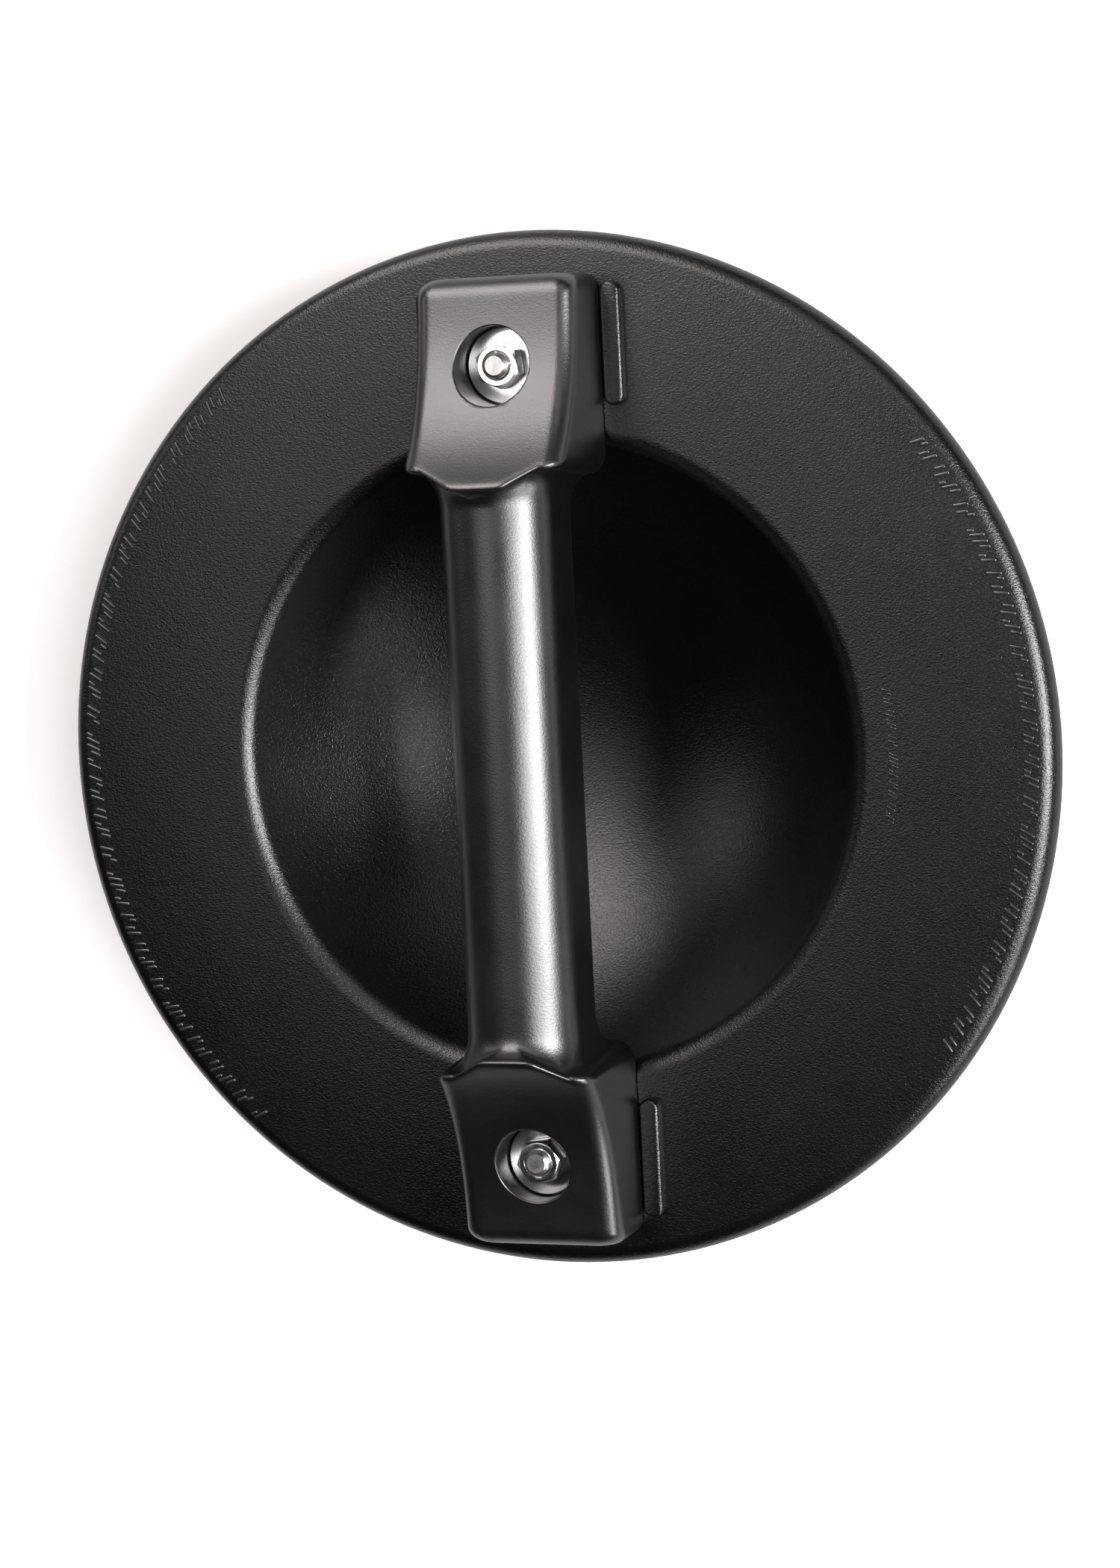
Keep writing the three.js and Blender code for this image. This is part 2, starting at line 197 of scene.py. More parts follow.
def shield_section():
    """The shield's half section from the inside of the dome over lip, flange and rim to the outside."""
    quarter = math.pi / 2
    inner = (BOSS_RADIUS ** 2 + BOSS_DEPTH ** 2) / (2 * BOSS_DEPTH)
    outer = inner + WALL
    centre = inner - BOSS_DEPTH
    lip_radius = math.sqrt((inner + LIP_ROUND) ** 2 - (centre + LIP_ROUND) ** 2)
    lip_angle = math.atan2(centre + LIP_ROUND, lip_radius)
    front_reach = centre + WALL + BOSS_FRONT_ROUND
    front_radius = math.sqrt((outer + BOSS_FRONT_ROUND) ** 2 - front_reach ** 2)
    front_angle = math.atan2(front_reach, front_radius)
    spot_angle = math.acos(REST_SPOT_RADIUS / outer)
    first_angle = -quarter + math.radians(1)
    rim_front = -WALL - RIM_BEAD_DEPTH
    bead_inner = RIM_RADIUS - RIM_BEAD_WIDTH
    bead_level = rim_front + RIM_FRONT_ROUND
    return [
        *arc(0, centre, inner, -quarter, first_angle, 1),
        *arc(0, centre, inner, first_angle, -lip_angle, 44),
        *arc(lip_radius, -LIP_ROUND, LIP_ROUND, math.pi - lip_angle, quarter, 10),
        (BOSS_RADIUS + 0.4 * (RIM_RADIUS - BOSS_RADIUS), 0),
        (RIM_RADIUS - RIM_BACK_ROUND, 0),
        *arc(RIM_RADIUS - RIM_BACK_ROUND, -RIM_BACK_ROUND, RIM_BACK_ROUND, quarter, 0, 10),
        (RIM_RADIUS, bead_level),
        *arc(RIM_RADIUS - RIM_FRONT_ROUND, bead_level, RIM_FRONT_ROUND, 0, -quarter, 8),
        (bead_inner + RIM_FRONT_ROUND, rim_front),
        *arc(bead_inner + RIM_FRONT_ROUND, bead_level, RIM_FRONT_ROUND, -quarter, -math.pi, 8),
        (bead_inner, -WALL),
        (front_radius, -WALL),
        *arc(front_radius, -WALL - BOSS_FRONT_ROUND, BOSS_FRONT_ROUND, quarter, math.pi - front_angle, 10),
        *arc(0, centre, outer, -front_angle, -spot_angle, 40),
    ]


# Modelling helpers

def name_new(name):
    """Names the object that was just added."""
    piece = bpy.context.object
    piece.name = name
    piece.data.name = name
    return piece


def select_points(piece, wanted):
    """In edit mode, selects the vertices whose place passes the test, with the faces between them."""
    bpy.ops.mesh.select_mode(type="VERT")
    bpy.ops.mesh.select_all(action="DESELECT")
    mesh = bmesh.from_edit_mesh(piece.data)
    for vertex in mesh.verts:
        vertex.select = wanted(piece.matrix_world @ vertex.co)
    mesh.select_flush(True)
    bmesh.update_edit_mesh(piece.data)


def close_up(piece):
    """Leaves edit mode with all faces outwards, and puts the object's place into its mesh."""
    bpy.ops.mesh.select_all(action="SELECT")
    bpy.ops.mesh.normals_make_consistent(inside=False)
    bpy.ops.object.mode_set(mode="OBJECT")
    bpy.ops.object.transform_apply(location=True, rotation=True, scale=True)
    return piece


def turned(name, rings, sides, along=0.0):
    """A solid of revolution: a disc at the first ring, whose edge is extruded from ring to ring."""
    bpy.ops.object.select_all(action="DESELECT")
    radius, level = rings[0]
    bpy.ops.mesh.primitive_circle_add(
        vertices=sides, radius=radius, fill_type="TRIFAN", location=(0, along, BACK + level)
    )
    piece = name_new(name)
    bpy.ops.object.mode_set(mode="EDIT")
    bpy.ops.mesh.region_to_loop()
    for next_radius, next_level in rings[1:]:
        bpy.ops.mesh.extrude_edges_move(TRANSFORM_OT_translate={"value": (0, 0, next_level - level)})
        growth = next_radius / radius
        bpy.ops.transform.resize(value=(growth, growth, 1), center_override=(0, along, BACK + next_level))
        radius, level = next_radius, next_level
    bpy.ops.mesh.edge_face_add()
    return close_up(piece)


def pick(piece):
    """Selects this piece alone and makes it the active one."""
    bpy.ops.object.select_all(action="DESELECT")
    bpy.context.view_layer.objects.active = piece
    piece.select_set(True)


def apply_modifier(piece, kind, **settings):
    """Adds one modifier to the piece with these settings, and applies it."""
    pick(piece)
    bpy.ops.object.modifier_add(type=kind)
    modifier = piece.modifiers[-1]
    for setting, value in settings.items():
        setattr(modifier, setting, value)
    bpy.ops.object.modifier_apply(modifier=modifier.name)


def combine(piece, other, operation):
    """Cuts the other solid out of the piece, joins it on, or keeps what both share, and removes it."""
    apply_modifier(piece, "BOOLEAN", operation=operation, object=other, solver="EXACT")
    bpy.data.objects.remove(other)


def cut(piece, tool):
    combine(piece, tool, "DIFFERENCE")


def weld(piece, other):
    combine(piece, other, "UNION")


def smooth(piece, degrees):
    """Shades the piece smooth, apart from edges sharper than the angle."""
    pick(piece)
    bpy.ops.object.shade_smooth_by_angle(angle=math.radians(degrees))
    return piece


def dress(piece, material, slot, *nodes):
    """Gives the piece its finish, its body and the solids that it stands for."""
    piece.data.materials.clear()
    piece.data.materials.append(material)
    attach(piece, "root")
    if nodes:
        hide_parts(*nodes)


# Shield

def locating_rib(side, end):
    """One low bar with round ends beside a foot: a disc is drawn out both ways, raised and rounded."""
    straight = RIB_OUTER - RIB_INNER - RIB_WIDTH
    middle = end * (RIB_INNER + RIB_OUTER) / 2
    sunk = WALL / 2
    bpy.ops.object.select_all(action="DESELECT")
    bpy.ops.mesh.primitive_circle_add(
        vertices=48,
        radius=RIB_WIDTH / 2,
        fill_type="NGON",
        location=(side * RIB_ACROSS, middle, BACK - sunk),
    )
    rib = name_new("locating_rib")
    bpy.ops.object.mode_set(mode="EDIT")
    for direction in (1, -1):
        select_points(rib, lambda place: direction * (place.y - middle) > RIB_WIDTH * 0.01)
        bpy.ops.transform.translate(value=(0, direction * straight / 2, 0))
    bpy.ops.mesh.select_all(action="SELECT")
    bpy.ops.mesh.extrude_region_move(TRANSFORM_OT_translate={"value": (0, 0, sunk + RIB_HEIGHT)})
    bpy.ops.mesh.bevel(offset=RIB_EDGE_ROUND, segments=5, affect="EDGES")
    return close_up(rib)


def bolt_hole(along):
    """A square hole in the flange for the neck of a bolt."""
    bpy.ops.object.select_all(action="DESELECT")
    bpy.ops.mesh.primitive_cube_add(size=BOLT_HOLE, location=(0, along, BACK - WALL / 2))
    return name_new("bolt_hole")


def shield():
    """The whole moulding: dome, flange and rim in one turning, with its ribs and bolt holes."""
    body = turned("shield_moulding", shield_section(), 192)
    for end in (1, -1):
        for side in (1, -1):
            weld(body, locating_rib(side, end))
        cut(body, bolt_hole(HANDLE_MIDDLE + end * BOLT_OFFSET))
    return smooth(body, 32)


def marks():
    """Rows of short raised strokes along the flange."""
    bpy.ops.object.select_all(action="DESELECT")
    strokes = []
    for radius, first, last, scale in MARK_ROWS.values():
        turn = 1 if last > first else -1
        row_length = math.radians(abs(last - first)) * radius / (MM * scale)
        for run in range(math.ceil(row_length / MARK_RUN_LENGTH)):
            for place, length, offset in MARK_RUN:
                reached = run * MARK_RUN_LENGTH + place
                if reached > row_length:
                    continue
                angle = math.radians(first) + turn * reached * MM * scale / radius
                away = radius - turn * offset * MM * scale
                bpy.ops.mesh.primitive_cube_add(
                    size=1,
                    location=(
                        away * math.cos(angle),
                        away * math.sin(angle),
                        BACK + (MARK_HEIGHT - MARK_SUNK) / 2,
                    ),
                    rotation=(0, 0, angle + MARK_SLANT),
                    scale=(length * MM * scale, MARK_WIDTH * scale, MARK_HEIGHT + MARK_SUNK),
                )
                strokes.append(bpy.context.object)
    for stroke in strokes:
        stroke.select_set(True)
    bpy.ops.object.join()
    rows = name_new("flange_marks")
    bpy.ops.object.mode_set(mode="EDIT")
    close_up(rows)
    apply_modifier(rows, "BEVEL", width=MARK_EDGE_ROUND, segments=4)
    return smooth(rows, 60)


# Handle

# Columns of the mesh round half of the handle, from the middle of its crown to the middle of its underside
CROWN_COLUMNS = 22
NOSE_COLUMNS = 10
SIDE_COLUMNS = 6
UNDERSIDE_COLUMNS = 8
HALF_COLUMNS = CROWN_COLUMNS + SIDE_COLUMNS + UNDERSIDE_COLUMNS


def mix(start, end, share):
    return start + (end - start) * share


def clamp(value, low, high):
    return max(low, min(high, value))


def face_level(along):
    """Level of the foot's hollow face, which climbs towards the middle of the shield."""
    climb = (FOOT_END - along) / (FOOT_END - RIDGE)
    curve_rise = RIDGE_LEVEL - FOOT_END_LEVEL - FOOT_SLOPE_RISE
    return FOOT_END_LEVEL + FOOT_SLOPE_RISE * climb + curve_rise * climb ** 3


def pulled_in(along, size):
    """How far a round edge of this size has pulled in, this far along the foot."""
    past = clamp(along - (FOOT_END - size), 0, size)
    return size - math.sqrt(size ** 2 - past ** 2)


def foot_half_width(level):
    return FOOT_WIDTH / 2 - math.tan(FOOT_DRAFT) * level


def grip_point(column):
    """A column's point on the grip, across and level, from the middle of its crown to the middle of its back."""
    half = GRIP_WIDTH / 2
    side_top = GRIP_CROWN - GRIP_CROWN_ROUND
    side_low = GRIP_STAND_OFF + GRIP_BACK_ROUND
    if column <= CROWN_COLUMNS:
        angle = column / CROWN_COLUMNS * math.pi / 2
        return half * math.sin(angle), side_top + GRIP_CROWN_ROUND * math.cos(angle)
    if column <= CROWN_COLUMNS + SIDE_COLUMNS:
        return half, mix(side_top, side_low, (column - CROWN_COLUMNS) / SIDE_COLUMNS)
    angle = (column - CROWN_COLUMNS - SIDE_COLUMNS) / UNDERSIDE_COLUMNS * math.pi / 2
    return half * math.cos(angle), side_low - GRIP_BACK_ROUND * math.sin(angle)


def foot_point(column, along, inset):
    """The same column's point on a foot: hollow face, round edge, side, base. The inset rounds its toe."""
    pulled = pulled_in(along, FOOT_CORNER_ROUND) + inset
    top = face_level(along) - pulled_in(along, FOOT_EDGE_ROUND) - inset
    edge_low = top - FOOT_EDGE_ROUND
    flat = foot_half_width(edge_low) - pulled - FOOT_EDGE_ROUND
    if column == 0:
        return 0, top
    if column <= NOSE_COLUMNS:
        return mix(NOSE_FLAT / 2, flat, (column - 1) / (NOSE_COLUMNS - 1)), top
    if column <= CROWN_COLUMNS:
        angle = (column - NOSE_COLUMNS) / (CROWN_COLUMNS - NOSE_COLUMNS) * math.pi / 2
        return flat + FOOT_EDGE_ROUND * math.sin(angle), edge_low + FOOT_EDGE_ROUND * math.cos(angle)
    low = SEAT_GAP + FOOT_BASE_CHAMFER
    if column <= CROWN_COLUMNS + SIDE_COLUMNS:
        level = mix(edge_low, low, (column - CROWN_COLUMNS) / SIDE_COLUMNS)
        return foot_half_width(level) - pulled, level
    base_half = foot_half_width(SEAT_GAP) - pulled - FOOT_BASE_CHAMFER
    inward = (column - CROWN_COLUMNS - SIDE_COLUMNS - 1) / (UNDERSIDE_COLUMNS - 1)
    return mix(base_half, 0, inward), SEAT_GAP


def toe_of(column):
    """Where a column reaches the foot, how long its flare is, and how round the toe is there."""
    if column <= NOSE_COLUMNS:
        across = clamp((column - 1) / (NOSE_COLUMNS - 1), 0, 1)
        return mix(RIDGE, CORNER, across), mix(CROWN_FLARE, SIDE_FLARE, across), TOE_ROUND
    down = clamp((column - CROWN_COLUMNS) / SIDE_COLUMNS, 0, 1)
    return mix(CORNER, TOE, down), SIDE_FLARE, mix(TOE_ROUND, TOE_CORNER_ROUND, down ** 2)


def on_grip(column, share):
    reached, flare, _ = toe_of(column)
    across, level = grip_point(column)
    return across, mix(0, reached - flare, share), level


def on_flare(column, share):
    reached, flare, size = toe_of(column)
    turn = share * math.pi / 2
    grown = 1 - math.cos(turn)
    grip = grip_point(column)
    foot = foot_point(column, reached, size)
    return mix(grip[0], foot[0], grown), reached - flare * (1 - math.sin(turn)), mix(grip[1], foot[1], grown)


def on_toe(column, share):
    reached, _, size = toe_of(column)
    turn = share * math.pi / 2
    along = reached + size * (1 - math.cos(turn))
    across, level = foot_point(column, along, size * (1 - math.sin(turn)))
    return across, along, level


def on_face(column, share):
    reached, _, size = toe_of(column)
    along = mix(reached + size, FOOT_END - FOOT_CORNER_ROUND, share)
    across, level = foot_point(column, along, 0)
    return across, along, level


def on_end(column, share):
    along = FOOT_END - FOOT_CORNER_ROUND * (1 - math.sin(share * math.pi / 2))
    across, level = foot_point(column, along, 0)
    return across, along, level


# Stretches of the handle from its middle to its outer end, and the rings in each
HANDLE_STRETCHES = ((on_grip, 8), (on_flare, 14), (on_toe, 5), (on_face, 34), (on_end, 8))


def handle_rings():
    """Each ring's stretch and its share of that stretch, from the middle of the handle outwards."""
    return [(stretch, step / steps) for stretch, steps in HANDLE_STRETCHES for step in range(1, steps + 1)]


def handle_blank():
    """A flat grid is rolled round the handle's outline, ring by ring, and closed at its seam and ends."""
    around = 2 * HALF_COLUMNS
    rings = handle_rings()
    stations = [(-1, ring) for ring in reversed(rings)] + [(1, ring) for ring in rings]
    bpy.ops.object.select_all(action="DESELECT")
    bpy.ops.mesh.primitive_grid_add(x_subdivisions=around, y_subdivisions=len(stations) - 1, size=1)
    blank = name_new("handle_moulding")
    for number, vertex in enumerate(blank.data.vertices):
        end, (stretch, share) = stations[number // (around + 1)]
        place = number % (around + 1)
        column = min(place, around - place)
        side = 1 if place <= HALF_COLUMNS else -1
        across, along, level = stretch(column, share)
        vertex.co = (side * across, HANDLE_MIDDLE + end * along, BACK + level)
    bpy.ops.object.mode_set(mode="EDIT")
    bpy.ops.mesh.select_all(action="SELECT")
    bpy.ops.mesh.remove_doubles(threshold=0.01 * MM)
    bpy.ops.mesh.fill_holes(sides=0)
    return close_up(blank)


def counterbore(end):
    """The tool that sinks a foot's washer seat and bolt bore: its rounded mouth follows the face."""
    mouth = face_level(BOLT_OFFSET)
    over = mouth + 30 * MM
    rings = [
        (BOLT_BORE_RADIUS, -2 * MM),
        (BOLT_BORE_RADIUS, COUNTERBORE_FLOOR),
        (COUNTERBORE_RADIUS, COUNTERBORE_FLOOR),
        (COUNTERBORE_RADIUS, mouth - COUNTERBORE_MOUTH_ROUND),
        *arc(
            COUNTERBORE_RADIUS + COUNTERBORE_MOUTH_ROUND,
            mouth - COUNTERBORE_MOUTH_ROUND,
            COUNTERBORE_MOUTH_ROUND,
            math.pi,
            math.radians(105),
            6,
        ),
        (COUNTERBORE_RADIUS + 2 * COUNTERBORE_MOUTH_ROUND, mouth + COUNTERBORE_MOUTH_ROUND),
        (COUNTERBORE_RADIUS + 2 * COUNTERBORE_MOUTH_ROUND, over),
    ]
    tool = turned("counterbore", rings, 96, along=HANDLE_MIDDLE + end * BOLT_OFFSET)
    lowest_mouth = BACK + mouth - 1.01 * COUNTERBORE_MOUTH_ROUND
    for vertex in tool.data.vertices:
        if lowest_mouth < vertex.co.z < BACK + over - MM:
            vertex.co.z += face_level(abs(vertex.co.y - HANDLE_MIDDLE)) - mouth
    return tool


def handle():
    """The grip with its two feet, and a counterbore in each foot."""
    blank = handle_blank()
    apply_modifier(blank, "SUBSURF", levels=1, render_levels=1)
    for end in (1, -1):
        cut(blank, counterbore(end))
    return smooth(blank, 38)


# Fasteners

def bolt(name, along):
    """A carriage bolt: domed head under the flange, square neck, and a shank with a cut thread."""
    shank_top = BOLT_HIGH - BACK
    head_seat = BOLT_LOW - BACK + BOLT_HEAD_HEIGHT
    dome = (BOLT_HEAD_RADIUS ** 2 + BOLT_HEAD_HEIGHT ** 2) / (2 * BOLT_HEAD_HEIGHT)
    edge = math.atan2(dome - BOLT_HEAD_HEIGHT, BOLT_HEAD_RADIUS)
    thread_start = head_seat + BOLT_NECK + THREAD_START
    thread_end = shank_top - 0.05 * MM
    steps = round((thread_end - thread_start) / (THREAD_PITCH / THREAD_RINGS))
    rings = [(BOLT_RADIUS - BOLT_END_CHAMFER, shank_top)]
    for step in range(steps + 1):
        level = mix(thread_end, thread_start, step / steps)
        rings.append((min(BOLT_RADIUS, BOLT_RADIUS - BOLT_END_CHAMFER + shank_top - level), level))
    rings += [
        (BOLT_RADIUS, head_seat),
        (BOLT_HEAD_RADIUS - BOLT_HEAD_EDGE, head_seat),
        *arc(0, head_seat - BOLT_HEAD_HEIGHT + dome, dome, -edge, -math.pi / 2 + math.radians(2), 16),
    ]
    piece = turned(name, rings, 64, along=along)
    for vertex in piece.data.vertices:
        level = vertex.co.z - BACK
        if thread_start < level < thread_end + 0.01 * MM:
            radius = math.hypot(vertex.co.x, vertex.co.y - along)
            angle = math.atan2(vertex.co.y - along, vertex.co.x)
            phase = (level / THREAD_PITCH - angle / (2 * math.pi)) % 1
            groove = THREAD_DEPTH * abs(2 * phase - 1)
            shrink = min(radius, BOLT_RADIUS - groove) / radius
            vertex.co.x *= shrink
            vertex.co.y = along + (vertex.co.y - along) * shrink
    bpy.ops.object.select_all(action="DESELECT")
    bpy.ops.mesh.primitive_cube_add(
        size=1,
        location=(0, along, BACK + head_seat + BOLT_NECK / 2 - BOLT_NECK_SUNK),
        scale=(2 * BOLT_RADIUS, 2 * BOLT_RADIUS, BOLT_NECK + 2 * BOLT_NECK_SUNK),
    )
    neck = name_new("neck")
    bpy.ops.object.transform_apply(location=True, rotation=True, scale=True)
    apply_modifier(neck, "BEVEL", width=BOLT_NECK_ROUND, segments=2)
    weld(piece, neck)
    return smooth(piece, 35)


def nut(name, along, corner_angle):
    """A hexagon nut, its corners turned off top and bottom, with a countersunk bore."""
    across_corners = NUT_ACROSS_FLATS / math.cos(math.pi / 6)
    height = NUT_HIGH - NUT_LOW
    bpy.ops.object.select_all(action="DESELECT")
    bpy.ops.mesh.primitive_cylinder_add(
        vertices=6,
        radius=across_corners / 2,
        depth=height,
        location=(0, along, (NUT_LOW + NUT_HIGH) / 2),
        rotation=(0, 0, corner_angle + math.pi / 6),
    )
    piece = name_new(name)
    bpy.ops.object.transform_apply(location=True, rotation=True, scale=True)
    apply_modifier(piece, "BEVEL", width=0.12 * MM, segments=2)
    low, high = NUT_LOW - BACK, NUT_HIGH - BACK
    flat = NUT_ACROSS_FLATS / 2 * NUT_FACE_SHARE
    outer = across_corners / 2 * 1.02
    drop = (outer - flat) * math.tan(NUT_CHAMFER)
    envelope = turned(
        "nut_envelope",
        [(flat, high), (outer, high - drop), (outer, low + drop), (flat, low)],
        96,
        along=along,
    )
    combine(piece, envelope, "INTERSECT")
    sink = NUT_COUNTERSINK
    mouth = NUT_BORE + 2 * sink
    tool = turned(
        "nut_bore",
        [(mouth, high + sink), (NUT_BORE, high - sink), (NUT_BORE, low + sink), (mouth, low - sink)],
        96,
        along=along,
    )
    cut(piece, tool)
    apply_modifier(
        piece, "BEVEL", width=0.06 * MM, segments=2, limit_method="ANGLE", angle_limit=math.radians(24)
    )
    return smooth(piece, 30)


def washer(name, along):
    """A large flat washer with rolled edges."""
    low, high = WASHER_LOW - BACK, WASHER_HIGH - BACK
    edge = WASHER_EDGE_ROUND
    quarter = math.pi / 2
    disc = turned(
        name,
        [
            (WASHER_RADIUS - edge, high),
            *arc(WASHER_RADIUS - edge, high - edge, edge, quarter, 0, 4),
            (WASHER_RADIUS, low + edge),
            *arc(WASHER_RADIUS - edge, low + edge, edge, 0, -quarter, 4),
        ],
        96,
        along=along,
    )
    bore = turned("washer_bore", [(WASHER_BORE, high + MM), (WASHER_BORE, low - MM)], 64, along=along)
    cut(disc, bore)
    return smooth(disc, 35)


# Materials

class Nodes:
    """Builds a node tree: add makes a node with its settings and inputs, and joins what it is given."""

    def __init__(self, tree):
        self.tree = tree
        self.count = 0

    def add(self, kind, inputs=None, **settings):
        node = self.tree.nodes.new(kind)
        self.count += 1
        node.location = (220 * self.count, 0)
        for setting, value in settings.items():
            setattr(node, setting, value)
        for socket, value in (inputs or {}).items():
            if isinstance(value, bpy.types.NodeSocket):
                self.tree.links.new(value, node.inputs[socket])
            else:
                node.inputs[socket].default_value = value
        return node

    def math(self, operation, first, second=0.0, third=0.0):
        inputs = {0: first, 1: second, 2: third}
        return self.add("ShaderNodeMath", inputs, operation=operation).outputs[0]

    def mapped(self, value, low, high, new_low, new_high):
        inputs = {"Value": value, "From Min": low, "From Max": high, "To Min": new_low, "To Max": new_high}
        return self.add("ShaderNodeMapRange", inputs).outputs[0]


def shader_group(name, inputs, outputs):
    """An empty shader node group with float inputs and their defaults, a Vector input, and float outputs."""
    group = bpy.data.node_groups.new(name, "ShaderNodeTree")
    group.interface.new_socket("Vector", in_out="INPUT", socket_type="NodeSocketVector")
    for socket, default in inputs.items():
        added = group.interface.new_socket(socket, in_out="INPUT", socket_type="NodeSocketFloat")
        added.default_value = default
    for socket in outputs:
        group.interface.new_socket(socket, in_out="OUTPUT", socket_type="NodeSocketFloat")
    nodes = Nodes(group)
    return group, nodes, nodes.add("NodeGroupInput"), nodes.add("NodeGroupOutput")


def moulded_grain():
    """The fine leather-like grain of a mould: short wavy ripples broken by small pebbles."""
    group, nodes, given, result = shader_group(
        "moulded_grain", {"Grain Size": MM, "Stretch": 2.0, "Fine Share": 0.3}, ("Height",)
    )
    scale = nodes.math("DIVIDE", 1.0, given.outputs["Grain Size"])
    squeezed = nodes.add("ShaderNodeCombineXYZ", {"X": 1.0, "Y": given.outputs["Stretch"], "Z": 1.0})
    stretched = nodes.add(
        "ShaderNodeVectorMath", {0: given.outputs["Vector"], 1: squeezed.outputs[0]}, operation="MULTIPLY"
    )
    ripples = nodes.add(
        "ShaderNodeTexNoise",
        {"Vector": stretched.outputs[0], "Scale": scale, "Detail": 1.0, "Roughness": 0.5, "Distortion": 0.3},
    )
    pebbles = nodes.add(
        "ShaderNodeTexNoise",
        {"Vector": given.outputs["Vector"], "Scale": nodes.math("MULTIPLY", scale, 2.3), "Detail": 1.0},
    )
    coarse_share = nodes.math("SUBTRACT", 1.0, given.outputs["Fine Share"])
    coarse = nodes.math("MULTIPLY", ripples.outputs["Fac"], coarse_share)
    height = nodes.math("MULTIPLY_ADD", pebbles.outputs["Fac"], given.outputs["Fine Share"], coarse)
    nodes.tree.links.new(height, result.inputs["Height"])
    return group


def uneven_gloss():
    """Roughness that changes slowly over a surface, and the same patches as a mask."""
    group, nodes, given, result = shader_group(
        "uneven_gloss", {"Patch Size": 30 * MM, "Low": 0.3, "High": 0.5}, ("Roughness", "Patches")
    )
    scale = nodes.math("DIVIDE", 1.0, given.outputs["Patch Size"])
    broad = nodes.add(
        "ShaderNodeTexNoise", {"Vector": given.outputs["Vector"], "Scale": scale, "Detail": 5.0, "Roughness": 0.6}
    )
    patches = nodes.mapped(broad.outputs["Fac"], 0.3, 0.7, 0.0, 1.0)
    span = nodes.math("SUBTRACT", given.outputs["High"], given.outputs["Low"])
    roughness = nodes.math("MULTIPLY_ADD", patches, span, given.outputs["Low"])
    nodes.tree.links.new(roughness, result.inputs["Roughness"])
    nodes.tree.links.new(patches, result.inputs["Patches"])
    return group


def fine_scratches():
    """A mask of thin scratches that run one way."""
    group, nodes, given, result = shader_group(
        "fine_scratches", {"Scratch Spacing": 0.4 * MM, "Run": 14.0, "Sparseness": 0.6}, ("Scratches",)
    )
    scale = nodes.math("DIVIDE", 1.0, given.outputs["Scratch Spacing"])
    along = nodes.math("DIVIDE", 1.0, given.outputs["Run"])
    squeezed = nodes.add("ShaderNodeCombineXYZ", {"X": 1.0, "Y": along, "Z": along})
    drawn = nodes.add(
        "ShaderNodeVectorMath", {0: given.outputs["Vector"], 1: squeezed.outputs[0]}, operation="MULTIPLY"
    )
    lines = nodes.add("ShaderNodeTexNoise", {"Vector": drawn.outputs[0], "Scale": scale, "Detail": 3.0})
    mask = nodes.mapped(lines.outputs["Fac"], given.outputs["Sparseness"], 0.8, 0.0, 1.0)
    nodes.tree.links.new(mask, result.inputs["Scratches"])
    return group


GRAIN = moulded_grain()
GLOSS = uneven_gloss()
SCRATCHES = fine_scratches()


def new_material(name):
    """A material with its shader and the piece's own coordinates."""
    material = bpy.data.materials.new(name)
    material.use_nodes = True
    material.node_tree.nodes.clear()
    nodes = Nodes(material.node_tree)
    place = nodes.add("ShaderNodeTexCoord").outputs["Object"]
    shader = nodes.add("ShaderNodeBsdfPrincipled")
    output = nodes.add("ShaderNodeOutputMaterial", {"Surface": shader.outputs[0]})
    output.is_active_output = True
    return material, nodes, place, shader


def link(nodes, value, shader, socket):
    """Feeds one socket of the shader."""
    nodes.tree.links.new(value, shader.inputs[socket])


def grouped(nodes, group, place, **values):
    """A group placed in a material with its own values, its input names written with underscores."""
    inputs = {"Vector": place}
    for name, value in values.items():
        inputs[name.replace("_", " ").title()] = value
    return nodes.add("ShaderNodeGroup", inputs, node_tree=group)


def tinted(nodes, mask, dark, light):
    """A colour between two, by the mask."""
    mixed = nodes.add("ShaderNodeMix", data_type="RGBA")
    nodes.tree.links.new(mask, mixed.inputs["Factor"])
    mixed.inputs[6].default_value = dark
    mixed.inputs[7].default_value = light
    return mixed.outputs[2]


def plastic(name, dark, light, specular, gloss_low, gloss_high, grain_size, grain_depth, stretch, fine_share):
    """Black moulded plastic with its grain and its uneven satin."""
    material, nodes, place, shader = new_material(name)
    shader.inputs["Specular IOR Level"].default_value = specular
    gloss = grouped(nodes, GLOSS, place, patch_size=26 * MM, low=gloss_low, high=gloss_high)
    grain = grouped(nodes, GRAIN, place, grain_size=grain_size, stretch=stretch, fine_share=fine_share)
    link(nodes, tinted(nodes, gloss.outputs["Patches"], dark, light), shader, "Base Color")
    link(nodes, gloss.outputs["Roughness"], shader, "Roughness")
    bump = nodes.add(
        "ShaderNodeBump", {"Strength": 1.0, "Distance": grain_depth, "Height": grain.outputs["Height"]}
    )
    link(nodes, bump.outputs[0], shader, "Normal")
    return material, nodes, place, shader, bump


def shield_plastic():
    """The shield's grained plastic."""
    made = plastic(
        "shield_plastic",
        dark=(0.0005, 0.0005, 0.0005, 1),
        light=(0.0011, 0.0010, 0.0010, 1),
        specular=0.5,
        gloss_low=0.265,
        gloss_high=0.29,
        grain_size=0.95 * MM,
        grain_depth=0.18 * MM,
        stretch=1.6,
        fine_share=0.45,
    )
    return made[0]


